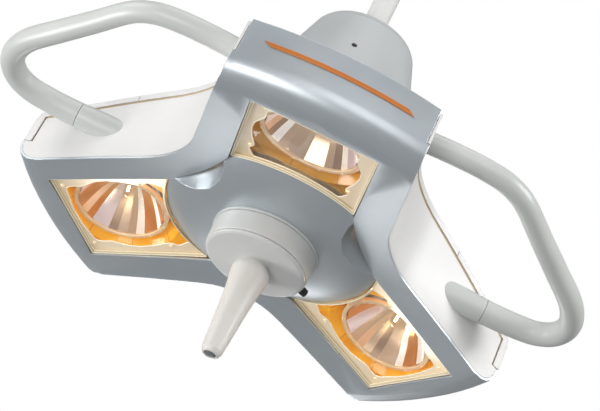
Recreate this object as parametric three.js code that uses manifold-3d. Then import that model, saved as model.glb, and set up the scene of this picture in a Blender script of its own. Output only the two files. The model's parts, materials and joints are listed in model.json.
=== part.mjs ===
// Three-lobed halogen surgical light on a suspension tube.
// Millimetres, +Z up along the tube, lobe A towards -Y, B at 150 deg, C at 30 deg.
// The head is drawn with z = 0 at the inner edge of the lamp windows, then the whole
// assembly is lowered by TUBE_TOP so that the row frame sits on the top face of the tube.
import * as THREE from 'three';
import { mergeVertices } from 'three/addons/utils/BufferGeometryUtils.js';
import Module from 'manifold-3d';

const wasm = await Module();
wasm.setup();

// ---------------------------------------------------------------- driving dimensions
const TUBE_TOP = 520;
const LOBES = { A: 270, B: 150, C: 30 };
const GAPS = { AB: 210, AC: 330, BC: 90 };
const GAP = 0.3;
const RAD = Math.PI / 180;

// head envelope
const SLOPE = 0.1735;
const CONE_R = 131;
const END_R = 352;
const LOBE_ARC = 500;
const NOSE_R = 28;
const WALL = 3.3;
const END_WALL_TOP = 48;
const VALLEY_R = 175;
const VALLEY_ARC = 130;
const FLANK_ANGLE = 26.9;
const FLANK_T = 3.5;
const RIM_R = 172;
const RIM_Z = 117;
const RIM_SLOPE = 0.38;
const HUB_Z = 140;
const HUB_R = 134.5;
const HUB_SLOPE = 0.3;
const ROUND = 60;

// lamp windows and lamp modules
const WINDOW_OUT = 300;
const WINDOW_IN = 123.6;
const WINDOW_HALF_OUT = 82;
const WINDOW_HALF_IN = 86.7;
const DOME_R = 149.7;
const WINDOW_INNER_R = 151;
const BEZEL_WIDTH = 4.2;
const MODULE_ALONG = 228.4;
const MODULE_Z = -18.2;
const TILT = Math.atan(SLOPE);
const REFLECTOR_R = 62;

// dome scoops and the frame band round each gap
const SCOOP_AT = 191;
const SCOOP_Z = -45;
const SCOOP_R = 89.3;
const BAND_R = 129;

// grab handles
const HANDLE_Z = 35;
const TUBE_R_ROOT = 13.5;
const TUBE_R_STUB = 17;

// lamp covers
const COVER_SPLIT = 196;
const COVER_HINGE_Z = 109;

// focus drum, sterile handle, joint
const DRUM_TOP_Z = -21;
const DRUM_FACE_Z = -50.5;
const BUTTON_ANGLE = 27;
const BUTTON_Z = -38;
const TILT_Z = 262;
const SCREW_X = -10;
const SCREW_Z = 262;
const SUSPENSION_R = 17;

// ---------------------------------------------------------------- helpers
const front = (r) => -SLOPE * (r - CONE_R);
const rear = (r) => (r < RIM_R
  ? RIM_Z + (RIM_R - r) * (HUB_Z - RIM_Z) / (RIM_R - HUB_R)
  : RIM_Z - RIM_SLOPE * (r - RIM_R));
const v2 = (x, y) => new THREE.Vector2(x, y);
const v3 = (x, y, z) => new THREE.Vector3(x, y, z);

function clean(geometry) {
  geometry.deleteAttribute('normal');
  geometry.deleteAttribute('uv');
  const merged = mergeVertices(geometry, 1e-4);
  const position = merged.getAttribute('position');
  const source = merged.getIndex().array;
  const index = [];
  for (let i = 0; i < source.length; i += 3) {
    const [a, b, c] = [source[i], source[i + 1], source[i + 2]];
    if (a !== b && b !== c && a !== c) index.push(a, b, c);
  }
  let volume = 0;
  const [p, q, s] = [v3(), v3(), v3()];
  for (let i = 0; i < index.length; i += 3) {
    p.fromBufferAttribute(position, index[i]);
    q.fromBufferAttribute(position, index[i + 1]);
    s.fromBufferAttribute(position, index[i + 2]);
    volume += p.dot(q.cross(s));
  }
  if (volume < 0) index.reverse();
  merged.setIndex(index);
  return merged;
}

function solid(geometry) {
  const merged = clean(geometry);
  return new wasm.Manifold(new wasm.Mesh({
    numProp: 3,
    vertProperties: new Float32Array(merged.getAttribute('position').array),
    triVerts: new Uint32Array(merged.getIndex().array),
  }));
}

function surface(body) {
  const mesh = body.getMesh();
  const geometry = new THREE.BufferGeometry();
  geometry.setAttribute('position', new THREE.BufferAttribute(new Float32Array(mesh.vertProperties), 3));
  geometry.setIndex(new THREE.BufferAttribute(new Uint32Array(mesh.triVerts), 1));
  return geometry;
}

// closed (r, z) profile turned about Z
function turned(profile, segments = ROUND) {
  const points = profile.map(([r, z]) => v2(r, z));
  points.push(points[0].clone());
  return new THREE.LatheGeometry(points, segments).rotateX(Math.PI / 2);
}

// closed plan outline pulled up from z0 to z1
function prism(points, z0, z1, holes = []) {
  const shape = new THREE.Shape(points.map(([x, y]) => v2(x, y)));
  for (const hole of holes) shape.holes.push(new THREE.Path(hole.map(([x, y]) => v2(x, y))));
  const options = { depth: z1 - z0, bevelEnabled: false, curveSegments: 12 };
  return new THREE.ExtrudeGeometry(shape, options).translate(0, 0, z0);
}

// skin through a list of rings with the same point count, flat fans on both ends
function loft(rings) {
  const count = rings[0].length;
  const points = rings.flat();
  const index = [];
  for (let i = 0; i + 1 < rings.length; i += 1) {
    for (let j = 0; j < count; j += 1) {
      const a = i * count + j;
      const b = i * count + (j + 1) % count;
      index.push(a, b, b + count, a, b + count, a + count);
    }
  }
  const last = (rings.length - 1) * count;
  for (let j = 1; j + 1 < count; j += 1) {
    index.push(0, j + 1, j);
    index.push(last, last + j, last + j + 1);
  }
  const geometry = new THREE.BufferGeometry().setFromPoints(points);
  geometry.setIndex(index);
  return geometry;
}

// four loops joined into a closed picture-frame ring
function ringLoft(loops) {
  const count = loops[0].length;
  const index = [];
  for (let i = 0; i < loops.length; i += 1) {
    const k = (i + 1) % loops.length;
    for (let j = 0; j < count; j += 1) {
      const m = (j + 1) % count;
      index.push(i * count + j, i * count + m, k * count + m);
      index.push(i * count + j, k * count + m, k * count + j);
    }
  }
  const geometry = new THREE.BufferGeometry().setFromPoints(loops.flat());
  geometry.setIndex(index);
  return geometry;
}

const rod = (r, z0, z1, n = 20) => turned([[0, z0], [r, z0], [r, z1], [0, z1]], n);
const alongX = (geometry) => geometry.rotateY(Math.PI / 2);
const box = (x0, x1, y0, y1, z0, z1) => new THREE.BoxGeometry(x1 - x0, y1 - y0, z1 - z0)
  .translate((x0 + x1) / 2, (y0 + y1) / 2, (z0 + z1) / 2);
const onLobe = (geometry, lobe) => geometry.rotateZ(LOBES[lobe] * RAD);
const onModule = (geometry, lobe) => onLobe(
  geometry.rotateY(TILT).translate(MODULE_ALONG, 0, MODULE_Z), lobe,
);

function arc(cx, cy, r, a0, a1, steps) {
  const points = [];
  for (let i = 0; i <= steps; i += 1) {
    const a = (a0 + (a1 - a0) * i / steps) * RAD;
    points.push([cx + r * Math.cos(a), cy + r * Math.sin(a)]);
  }
  return points;
}

// ---------------------------------------------------------------- plan outline of the head
// Three concave valleys joined by straight, slightly tapering flanks; the lobe ends are
// left long here and trimmed by the turned envelope.
function outline(inset) {
  const points = [];
  const r = VALLEY_ARC + inset;
  const centre = VALLEY_R + VALLEY_ARC;
  const cosF = Math.cos(FLANK_ANGLE * RAD);
  const sinF = Math.sin(FLANK_ANGLE * RAD);
  const run = 232;
  for (const gap of [30, 150, 270]) {
    const a = (gap + 60) * RAD;
    const local = [[centre - r * cosF + run * sinF, -r * sinF - run * cosF]];
    for (const [u, v] of arc(centre, 0, r, 180 + FLANK_ANGLE, 180 - FLANK_ANGLE, 8)) local.push([u, v]);
    local.push([centre - r * cosF + run * sinF, r * sinF + run * cosF]);
    for (const [u, v] of local) {
      points.push([u * Math.cos(a) - v * Math.sin(a), u * Math.sin(a) + v * Math.cos(a)]);
    }
  }
  return points;
}

// opening of the front frame: three windows joined round the dome by inward-bowed bands
function opening(inset) {
  const points = [];
  const band = BAND_R - inset;
  for (const lobe of [30, 150, 270]) {
    const c = Math.cos(lobe * RAD);
    const s = Math.sin(lobe * RAD);
    const place = ([u, v]) => points.push([u * c - v * s, u * s + v * c]);
    place([WINDOW_IN, -(WINDOW_HALF_IN - inset)]);
    place([WINDOW_OUT - inset, -(WINDOW_HALF_OUT - inset)]);
    place([WINDOW_OUT - inset, WINDOW_HALF_OUT - inset]);
    place([WINDOW_IN, WINDOW_HALF_IN - inset]);
    const half = WINDOW_HALF_IN - inset;
    const u0 = WINDOW_IN / 2 + half * Math.sqrt(3) / 2;
    const v0 = WINDOW_IN * Math.sqrt(3) / 2 - half / 2;
    const g = (lobe + 60) * RAD;
    for (let i = 1; i < 10; i += 1) {
      const v = -v0 + 2 * v0 * i / 10;
      const u = band + (u0 - band) * (v / v0) ** 2;
      points.push([u * Math.cos(g) - v * Math.sin(g), u * Math.sin(g) + v * Math.cos(g)]);
    }
  }
  return points;
}

const headPrism = (inset, z0 = -120, z1 = 260) => solid(prism(outline(inset), z0, z1));
const flankBand = (from, to) => headPrism(from).subtract(headPrism(to));
const lobeSide = (lobe, from) => solid(onLobe(box(from, 420, -200, 200, -120, 260), lobe));

// ---------------------------------------------------------------- parts list
const group = new THREE.Group();
group.position.z = -TUBE_TOP;
const finishes = {
  gray: { color: 0xa9b2b8, roughness: 0.42, metalness: 0.15 },
  gray2: { color: 0xb9bfc4, roughness: 0.38, metalness: 0.1 },
  white: { color: 0xe9e7e2, roughness: 0.35, metalness: 0 },
  cream: { color: 0xe7d3a6, roughness: 0.45, metalness: 0 },
  amber: { color: 0xe8a020, roughness: 0.12, metalness: 0 },
  stripe: { color: 0xc8702a, roughness: 0.4, metalness: 0 },
  tan: { color: 0xa88a62, roughness: 0.7, metalness: 0 },
  steel: { color: 0xb5b9bd, roughness: 0.28, metalness: 0.9 },
  black: { color: 0x15161a, roughness: 0.3, metalness: 0 },
  glass: { color: 0xdfe8ea, roughness: 0.05, metalness: 0 },
};
function add(name, geometry, finish) {
  const mesh = new THREE.Mesh(clean(geometry), new THREE.MeshStandardMaterial(finishes[finish]));
  mesh.name = name;
  group.add(mesh);
}

// ---------------------------------------------------------------- suspension
add('suspension_tube', turned([
  [14, 306], [SUSPENSION_R, 306], [SUSPENSION_R, TUBE_TOP], [14, TUBE_TOP],
], 32), 'white');
const pivotPin = { r: 8, half: 46 };
const eye = solid(rod(13.6, TILT_Z - 4, 350, 32))
  .add(solid(alongX(rod(22, -15, 15, 32)).translate(0, 0, TILT_Z)))
  .subtract(solid(alongX(rod(pivotPin.r + GAP, -30, 30, 32)).translate(0, 0, TILT_Z)));
add('pivot_eye', surface(eye), 'steel');
const pinRod = alongX(rod(pivotPin.r, -pivotPin.half, pivotPin.half, 32));
add('pivot_pin', pinRod.translate(0, 0, TILT_Z), 'steel');

// ---------------------------------------------------------------- joint housing
const coneR = (z) => HUB_R - HUB_SLOPE * (z - HUB_Z);
const housingBase = 215;
const housingTop = 342;
const housingSkin = 5;
const housingOuter = [
  [0, housingBase], [coneR(housingBase), housingBase], [coneR(334), 334],
  [coneR(339) - 1.6, 339], [coneR(housingTop) - 6, housingTop], [0, housingTop],
];
const housingInner = [
  [0, housingBase + 6], [coneR(221) - housingSkin, 221], [coneR(330) - housingSkin, 330],
  [coneR(335) - 12, 335], [0, 335],
];
const tiltSlot = solid(box(-21, 21, -21, 160, 280, 400));
const coverZone = (gap) => solid(prism([
  [-200, -200], [200, -200], [200, -30 + gap], [-200, -30 + gap],
], 226 - gap, 332 + gap));
const housingSolid = solid(turned(housingOuter, 44)).subtract(solid(turned(housingInner, 44)));
let housing = housingSolid.subtract(tiltSlot).subtract(coverZone(0)).subtract(solid(rod(30, 190, 240, 28)));
for (const side of [-1, 1]) {
  const cheek = solid(box(Math.min(side * 24, side * 34), Math.max(side * 24, side * 34), -22, 22, 218, 286))
    .subtract(solid(alongX(rod(pivotPin.r + GAP, -60, 60, 32)).translate(0, 0, TILT_Z)));
  housing = housing.add(cheek);
}
add('joint_housing', surface(housing), 'gray2');
const screwHole = solid(rod(4.2, 30, 140, 16).rotateX(Math.PI / 2).translate(SCREW_X, 0, SCREW_Z));
add('joint_front_cover', surface(housingSolid.intersect(coverZone(-0.6)).subtract(screwHole)), 'gray2');
add('brake_screw', rod(3.6, 81, 95, 12).rotateX(Math.PI / 2).translate(SCREW_X, 0, SCREW_Z), 'black');
add('swivel_bearing', turned([[31, 204], [96, 204], [96, 214.7], [31, 214.7]], 32), 'steel');

// ---------------------------------------------------------------- head structure
const baseRing = [
  [112, HUB_Z + GAP], [coneR(HUB_Z), HUB_Z + GAP], [coneR(214), 214.4], [96.4, 214.4], [96.4, 203.6],
  [40, 203.6], [40, 197], [100, 197],
];
add('hub_base', turned(baseRing, 44), 'gray2');

let chassis = solid(turned([[104, 46], [108, 46], [120, 136], [126, 139.8], [114, 139.8]], 36));
for (const gap of Object.values(GAPS)) {
  const bracket = box(107, VALLEY_R - FLANK_T - 0.4, -22, 22, 60, 66).rotateZ(gap * RAD);
  chassis = chassis.add(solid(bracket));
}
add('chassis', surface(chassis), 'steel');

// Lobe ends: each is turned about its own axis behind the centre, so the end walls are
// flatter than a circle round the tube; the nose rolls from the front cone into the wall.
const slopeDeg = TILT / RAD;
const noseX = END_R - NOSE_R;
const noseZ = front(noseX) + NOSE_R / Math.cos(TILT);
const BACK = LOBE_ARC - END_R;
const sector = (lobe) => solid(onLobe(prism([[-0.1, 0], [600, -1039.5], [600, 1039.5]], -220, 260), lobe));
function lobeEnds(inset, heel) {
  const r = LOBE_ARC - inset;
  const roll = arc(noseX + BACK, noseZ, NOSE_R - inset, -90 - slopeDeg, 0, 5);
  const crown = heel ? [[r, 36], [r - 3.5, 46], [r - 12, 53], [r - 40, 75], [r - 40, 200]] : [[r, 200]];
  const innerR = roll[0][0] - 30;
  const profile = [[0, -200], [innerR, -200], [innerR, roll[0][1] - 8], ...roll, ...crown, [0, 200]];
  let all = null;
  for (const lobe of Object.keys(LOBES)) {
    const one = solid(onLobe(turned(profile, 108).translate(-BACK, 0, 0), lobe)).intersect(sector(lobe));
    all = all ? all.add(one) : one;
  }
  return all;
}
// region between two heights given as functions of the radius
function layer(low, high, r0 = 115, r1 = 420) {
  const radii = [r0, ...[HUB_R + 0.6, RIM_R].filter((r) => r > r0), r1];
  return solid(turned([
    ...radii.map((r) => [r, low(r)]),
    ...radii.map((r) => [r, high(r)]).reverse(),
  ]));
}
const slab = (z0, z1) => solid(box(-600, 600, -600, 600, z0, z1));

// front frame: cone, rolled nose and end walls, trimmed to the three-lobed outline
const outerEnds = lobeEnds(0, false);
const frameShell = layer(front, () => END_WALL_TOP).intersect(outerEnds)
  .subtract(layer((r) => front(r) + WALL, () => 300).intersect(lobeEnds(WALL, false)));
const nosePlane = -3;
const frame = frameShell.intersect(headPrism(FLANK_T + GAP))
  .add(frameShell.intersect(headPrism(0)).intersect(slab(-200, nosePlane)))
  .subtract(solid(prism(opening(0), -120, 120)));
add('front_frame', surface(frame), 'gray');

// dome with three scoops facing the gaps
const domeFront = [[30, -17], [78, -17], [100, -14.5], [125, -9], [DOME_R - 4, -1.5], [DOME_R, 1]];
const domeSkin = 3;
const domeOuter = solid(turned([...domeFront, [DOME_R, 42], [30, 42]], 54));
const domeInner = solid(turned([
  [20, -17 + domeSkin], [78, -17 + domeSkin], [100, -14.5 + domeSkin], [125, -9 + domeSkin],
  [DOME_R - 5, 2], [DOME_R - domeSkin, 5], [DOME_R - domeSkin, 60], [20, 60],
], 54));
const scoop = (gap, r) => solid(new THREE.SphereGeometry(r, 20, 12)
  .rotateX(Math.PI / 2).translate(SCOOP_AT, 0, SCOOP_Z).rotateZ(gap * RAD));
let domeBody = domeOuter;
let domeVoid = domeInner;
for (const gap of Object.values(GAPS)) {
  domeBody = domeBody.subtract(scoop(gap, SCOOP_R));
  domeVoid = domeVoid.subtract(scoop(gap, SCOOP_R + domeSkin));
}
const aboveFrame = solid(turned([[0, 4.5], [200, 4.5], [200, 80], [0, 80]], 48));
const domeReach = solid(prism(opening(0.5), -120, 5)).add(aboveFrame);
const domeBore = solid(turned([[0, -40], [32, -40], [32, 80], [0, 80]], 48));
add('dome', surface(domeBody.subtract(domeVoid).subtract(domeBore).intersect(domeReach)), 'gray');

// flank covers, groove seals
const under = (depth) => (r) => rear(r) - depth;
const flankZone = layer((r) => front(r) + WALL + GAP, under(13.5), 150)
  .intersect(lobeEnds(WALL + GAP, false).intersect(slab(-200, nosePlane))
    .add(lobeEnds(14.5, false).intersect(slab(nosePlane - 0.01, 300))))
  .intersect(flankBand(0, FLANK_T));
const sealZone = layer(under(13.2), under(9.4), 150)
  .intersect(lobeEnds(15, false)).intersect(flankBand(0.9, FLANK_T));
for (const [name, angle] of Object.entries(GAPS)) {
  const wedge = solid(prism([[0, 0], [600, -1039], [600, 1039]], -120, 260).rotateZ(angle * RAD));
  add(`flank_cover_${name}`, surface(flankZone.intersect(wedge)), 'white');
  add(`groove_seal_${name}`, surface(sealZone.intersect(wedge)), 'tan');
}

// rear cover and the three hinged lamp covers
const heelEnds = lobeEnds(0, true);
const capEnds = lobeEnds(WALL + 2.2, true);
const lipZone = layer(() => nosePlane + 1.5, rear).intersect(heelEnds)
  .subtract(lobeEnds(11.5, false)).intersect(flankBand(0, 3));
const endSkin = capEnds.subtract(lobeEnds(WALL + 5.2, true)).intersect(slab(42, 80))
  .intersect(layer(() => 0, rear)).intersect(headPrism(0));
const skin = layer(under(3), rear, HUB_R + 0.6).intersect(capEnds).intersect(headPrism(0))
  .add(endSkin)
  .add(layer(under(9), rear, HUB_R + 0.6).intersect(heelEnds).intersect(flankBand(0, 3)))
  .add(lipZone);
const barrel = (r, y0, y1) => rod(r, y0, y1, 12).rotateX(-Math.PI / 2)
  .translate(COVER_SPLIT, 0, COVER_HINGE_Z);
let rearCover = skin;
for (const lobe of Object.keys(LOBES)) {
  rearCover = rearCover.subtract(lobeSide(lobe, COVER_SPLIT - 0.5))
    .subtract(solid(onLobe(barrel(5.2, -22, 22), lobe)));
  for (const side of [-1, 1]) {
    const knuckle = barrel(4.6, Math.min(side * 22.3, side * 40), Math.max(side * 22.3, side * 40));
    rearCover = rearCover.add(solid(onLobe(knuckle, lobe)));
  }
  rearCover = rearCover.add(solid(onLobe(barrel(2.2, -30, 30), lobe)));
}
add('rear_cover', surface(rearCover), 'white');
for (const lobe of Object.keys(LOBES)) {
  let cover = skin.intersect(lobeSide(lobe, COVER_SPLIT + 0.5));
  for (const side of [-1, 1]) {
    const clearance = barrel(5.2, Math.min(side * 21.7, side * 41), Math.max(side * 21.7, side * 41));
    cover = cover.subtract(solid(onLobe(clearance, lobe)));
  }
  cover = cover.add(solid(onLobe(barrel(4.6, -21.7, 21.7), lobe)))
    .subtract(solid(onLobe(barrel(2.5, -60, 60), lobe)));
  add(`lamp_cover_${lobe}`, surface(cover), 'white');
}

// inlaid stripes on the end walls
const stripeRing = turned([
  [LOBE_ARC + GAP, 10], [LOBE_ARC + 1.2, 10], [LOBE_ARC + 1.2, 26], [LOBE_ARC + GAP, 26],
], 108).translate(-BACK, 0, 0);
for (const lobe of Object.keys(LOBES)) {
  const blade = prism([[-96, 23], [-87, 17], [95, 17], [86, 23]], 200, 420)
    .rotateX(Math.PI / 2).rotateZ(Math.PI / 2);
  const stripe = solid(onLobe(stripeRing.clone(), lobe)).intersect(solid(onLobe(blade, lobe)));
  add(`stripe_${lobe}`, surface(stripe), 'stripe');
}

// ---------------------------------------------------------------- lamp windows
const planeX = (along) => (along - MODULE_ALONG) / Math.cos(TILT);
function windowLoop(inset, innerR, h) {
  const half = WINDOW_HALF_IN - inset - 0.4;
  const loop = [
    [planeX(WINDOW_OUT - inset) - 1.6, -(WINDOW_HALF_OUT - inset)],
    [planeX(WINDOW_OUT - inset) - 1.6, WINDOW_HALF_OUT - inset],
  ];
  for (let i = 0; i <= 8; i += 1) {
    const lat = half - 2 * half * i / 8;
    loop.push([planeX(Math.sqrt(innerR ** 2 - lat ** 2)), lat]);
  }
  return loop.map(([x, y]) => v3(x, y, h));
}
const flat = (loop) => loop.map((p) => [p.x, p.y]);

// wavy hole of the mask plate: half outline from the dome side to the outer end, necked at the screws
const maskHalf = [
  [-84, 75], [-66, 68], [-55, 61.5], [-44, 64.5], [-30, 68.5], [-8, 71.5], [10, 70], [23, 64.5], [34, 59.5],
  [46, 60.5], [54, 59.5], [58.5, 55], [60, 47], [61, 38], [63.5, 24], [64.6, 8],
];
const maskOutline = [...maskHalf, ...maskHalf.map(([x, y]) => [x, -y]).reverse()];
for (const lobe of Object.keys(LOBES)) {
  const bezel = ringLoft([
    windowLoop(0.5, WINDOW_INNER_R, 1.5), windowLoop(BEZEL_WIDTH, WINDOW_INNER_R + 2, 3.8),
    windowLoop(BEZEL_WIDTH, WINDOW_INNER_R + 2, 6), windowLoop(0.5, WINDOW_INNER_R, 6),
  ]);
  add(`window_bezel_${lobe}`, onModule(bezel, lobe), 'cream');
  const glass = prism(flat(windowLoop(-3, WINDOW_INNER_R, 0)), 8.3, 11.3);
  add(`window_glass_${lobe}`, onModule(glass, lobe), 'glass');
  const hole = solid(prism(maskOutline, 0, 30)).subtract(solid(onLobeInverse(WINDOW_INNER_R + 3.2)));
  const mask = solid(prism(flat(windowLoop(0.5, WINDOW_INNER_R + 0.2, 0)), 6.3, 8)).subtract(hole);
  add(`mask_plate_${lobe}`, onModule(surface(mask), lobe), 'cream');
  const flange = solid(prism(flat(windowLoop(-1.5, WINDOW_INNER_R + 1, 0)), 13.8, 15.2))
    .subtract(solid(turned([[0, 0], [85, 0], [85, 30], [0, 30]], 24)));
  const bowl = solid(turned([[84, 13.8], [86, 13.8], [72.5, 34], [70.5, 34]], 24)).add(flange);
  const clearR = WINDOW_INNER_R + 0.6;
  const clear = solid(onLobe(turned([[0, -80], [clearR, -80], [clearR, 120], [0, 120]], ROUND), lobe));
  const bowlPlaced = solid(onModule(surface(bowl), lobe)).subtract(clear);
  add(`amber_bowl_${lobe}`, surface(bowlPlaced), 'amber');
}

// dome cylinder seen from the lamp module frame
function onLobeInverse(r) {
  return turned([[0, -200], [r, -200], [r, 300], [0, 300]], ROUND)
    .translate(-MODULE_ALONG, 0, -MODULE_Z).rotateY(-TILT);
}

// ---------------------------------------------------------------- lamp modules
const bowlCurve = (t) => [13 + (REFLECTOR_R - 15) * Math.sqrt(1 - t), 20 + 54 * t];
const inner = [0, 0.25, 0.5, 0.75, 0.92, 1].map(bowlCurve);
const outerSkin = inner.map(([r, h]) => [r + 2, h + 0.6]).reverse();
const reflectorProfile = [...inner, ...outerSkin];
for (const lobe of Object.keys(LOBES)) {
  add(`reflector_${lobe}`, onModule(turned(reflectorProfile, 14), lobe), 'steel');
  let ring = solid(turned([[62.6, 18], [67.5, 18], [67.5, 24], [62.6, 24]], 24));
  for (const side of [-1, 1]) {
    const stub = rod(3, 64, 73.5, 8).rotateX(-side * Math.PI / 2).translate(0, 0, 21);
    ring = ring.add(solid(stub));
  }
  add(`reflector_ring_${lobe}`, onModule(surface(ring), lobe), 'glass');
  const bulb = turned([
    [0, 38], [2, 38.4], [4.6, 41], [5.6, 45], [5.6, 66], [4.6, 69], [4.6, 76], [0, 76],
  ], 10);
  add(`bulb_${lobe}`, onModule(bulb, lobe), 'glass');
  const holder = solid(turned([[0, 76.4], [17, 76.4], [17, 82], [12, 84], [12, 94], [0, 94]], 16))
    .subtract(solid(box(-14, 14, -1.6, 1.6, 90, 100)));
  add(`bulb_holder_${lobe}`, onModule(surface(holder), lobe), 'cream');
}

// ---------------------------------------------------------------- grab handles
const cosF = Math.cos(FLANK_ANGLE * RAD);
const sinF = Math.sin(FLANK_ANGLE * RAD);
const tangent = v2(VALLEY_R + VALLEY_ARC * (1 - cosF), VALLEY_ARC * sinF);
const onFlank = (t, off) => v2(tangent.x + t * sinF + off * cosF, tangent.y + t * cosF - off * sinF);
const rootPoint = onFlank(142, 0.4);
const rootOut = onFlank(142, 34);
const seam = v2(255.5, 150.5);
const seamDir = v2(0.87, 0.492).normalize();
// centre line in the gap plane: x outwards, y towards the lobe that carries the plain root
const centreLine = new THREE.CatmullRomCurve3([
  v3(seam.x, -seam.y, 0), v3(seam.x + seamDir.x * 20, -seam.y - seamDir.y * 20, 0), v3(295, -171, 0),
  v3(322, -180, 0), v3(345, -177, 0), v3(364, -163, 0), v3(377, -141, 0), v3(383, -112, 0),
  v3(383, -88, 0), v3(375, -35, 0), v3(365, 30, 0), v3(356, 92, 0), v3(350, 111, 0), v3(337, 132, 0),
  v3(316, 150, 0), v3(rootOut.x, rootOut.y, 0), v3(rootPoint.x, rootPoint.y, 0),
], false, 'centripetal');
function sweep(curve, steps, sides, radius) {
  const rings = [];
  for (let i = 0; i <= steps; i += 1) {
    const t = i / steps;
    const p = curve.getPointAt(t);
    let d = curve.getTangentAt(t);
    if (i === steps) d = v3(-cosF, sinF, 0);
    if (i === 0) d = v3(seamDir.x, -seamDir.y, 0);
    const n = v3(-d.y, d.x, 0).normalize();
    const r = radius(t);
    const ring = [];
    for (let j = 0; j < sides; j += 1) {
      const a = 2 * Math.PI * j / sides;
      ring.push(v3(p.x + n.x * r * Math.cos(a), p.y + n.y * r * Math.cos(a), p.z + r * Math.sin(a)));
    }
    rings.push(ring);
  }
  return loft(rings);
}
const tubeRadius = (t) => TUBE_R_STUB + (TUBE_R_ROOT - TUBE_R_STUB) * Math.min(1, t / 0.75);
for (const [name, mirror] of [['AB', 1], ['AC', -1]]) {
  const tube = sweep(centreLine, 30, 12, tubeRadius).scale(1, mirror, 1).translate(0, 0, HANDLE_Z);
  add(`handle_tube_${name}`, tube.rotateZ(GAPS[name] * RAD), 'gray2');
  const stubRings = [];
  for (const [back, r] of [[0.6, TUBE_R_STUB], [6, TUBE_R_STUB], [24, 18], [48, 19], [72, 19]]) {
    const ring = [];
    for (let j = 0; j < 20; j += 1) {
      const a = 2 * Math.PI * j / 20;
      const side = r * Math.cos(a);
      ring.push(v3(
        seam.x - seamDir.x * back + seamDir.y * side,
        -seam.y + seamDir.y * back + seamDir.x * side,
        r * Math.sin(a),
      ));
    }
    stubRings.push(ring);
  }
  const stub = loft(stubRings).scale(1, mirror, 1).translate(0, 0, HANDLE_Z).rotateZ(GAPS[name] * RAD);
  const trimmed = solid(stub).subtract(headPrism(-0.3));
  add(`handle_socket_${name}`, surface(trimmed), 'gray2');
}

// ---------------------------------------------------------------- focus drum and sterile handle
add('drum_ring', turned([[60, -20.5], [74, -20.5], [74, -17.3], [60, -17.3]], 44), 'gray2');
const drumBlank = solid(turned([
  [10.5, DRUM_FACE_Z], [70.5, DRUM_FACE_Z], [72.5, DRUM_TOP_Z], [69.3, DRUM_TOP_Z], [67.3, -46.5],
  [18, -46.5], [18, -1], [0, -1], [0, -12], [10.5, -12],
], 40));
const buttonAxis = (geometry) => geometry.rotateY(Math.PI / 2).translate(0, 0, BUTTON_Z).rotateZ(BUTTON_ANGLE * RAD);
add('focus_drum', surface(drumBlank.subtract(solid(buttonAxis(rod(6.6, 55, 90, 20))))), 'gray2');
add('drum_cap', turned([[10.5, -55], [66, -55], [68, -53.6], [68.5, -50.9], [10.5, -50.9]], 44), 'gray2');
add('focus_cam', prism(Array.from({ length: 48 }, (_, i) => {
  const a = 2 * Math.PI * i / 48;
  const r = 54 + 6 * Math.cos(3 * a);
  return [r * Math.cos(a), r * Math.sin(a)];
}), -0.6, 5.4), 'steel');
add('sterile_handle', turned([
  [0, -14], [8.5, -14], [10, -16], [10, -55.4], [19, -55.4], [20.5, -58], [24.5, -63], [26.3, -68],
  [25.6, -75], [22.5, -92], [19, -125], [14.8, -180], [13.8, -190], [11, -195.5], [6, -197.5], [0, -198],
], 22), 'white');
const button = solid(buttonAxis(rod(6, 58, 84, 16)))
  .add(solid(buttonAxis(rod(8.5, 58, 61, 16))))
  .add(solid(buttonAxis(rod(5, 83, 85.5, 16))));
add('release_button', surface(button), 'black');

export default group;
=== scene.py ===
import json
import math

import bmesh
import bpy
import numpy as np
from mathutils import Matrix, Vector


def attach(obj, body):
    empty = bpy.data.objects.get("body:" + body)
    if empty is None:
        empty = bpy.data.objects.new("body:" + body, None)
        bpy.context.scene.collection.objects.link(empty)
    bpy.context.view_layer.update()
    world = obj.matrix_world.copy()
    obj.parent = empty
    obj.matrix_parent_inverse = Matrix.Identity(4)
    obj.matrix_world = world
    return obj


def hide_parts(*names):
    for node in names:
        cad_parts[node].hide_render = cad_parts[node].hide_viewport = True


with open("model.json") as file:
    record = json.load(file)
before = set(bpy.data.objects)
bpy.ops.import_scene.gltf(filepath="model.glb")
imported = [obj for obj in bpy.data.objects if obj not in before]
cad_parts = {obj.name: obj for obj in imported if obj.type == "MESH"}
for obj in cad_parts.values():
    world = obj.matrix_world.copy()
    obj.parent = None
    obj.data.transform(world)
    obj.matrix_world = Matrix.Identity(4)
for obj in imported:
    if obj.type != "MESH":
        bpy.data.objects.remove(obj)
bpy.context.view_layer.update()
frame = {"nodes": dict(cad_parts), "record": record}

# ---------------------------------------------------------------- driving dimensions, in metres
# The head is drawn with z = 0 at the inner edge of the lamp windows, and to_row lowers it
# so that the row frame sits on the top face of the suspension tube.
TUBE_TOP = 0.520
LOBES = {"A": 270, "B": 150, "C": 30}  # where each lobe points, in degrees round z
GAPS = {"AB": 210, "AC": 330}  # where each gap with a grab handle points
TILT = math.atan(0.1735)  # slope of a lobe's underside
WINDOW_OUT = 0.300  # from the head's axis to a window's straight outer edge
WINDOW_HALF_OUT = 0.082  # half the width of that edge
WINDOW_HALF_IN = 0.0867  # half the width at the inner corners
DOME_EDGE = 0.151  # radius of the arc that cuts the windows along the dome
PANE_ARC = DOME_EDGE + 0.0005
MODULE_ALONG = 0.2284  # centre of a lamp module, along its lobe
MODULE_Z = -0.0182
HANDLE_Z = 0.035  # height of the plane that the grab handles are bent in
FLANK_ANGLE = math.radians(26.9)
VALLEY_R = 0.175  # from the head's axis to the bottom of the valley between two lobes
VALLEY_ARC = 0.130  # radius of the curve from the valley into a flank
BUTTON_ANGLE = math.radians(27)
BUTTON_Z = -0.038

to_row = Matrix.Translation((0, 0, -TUBE_TOP))


def lobe_matrix(lobe):
    return to_row @ Matrix.Rotation(math.radians(LOBES[lobe]), 4, "Z")


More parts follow.
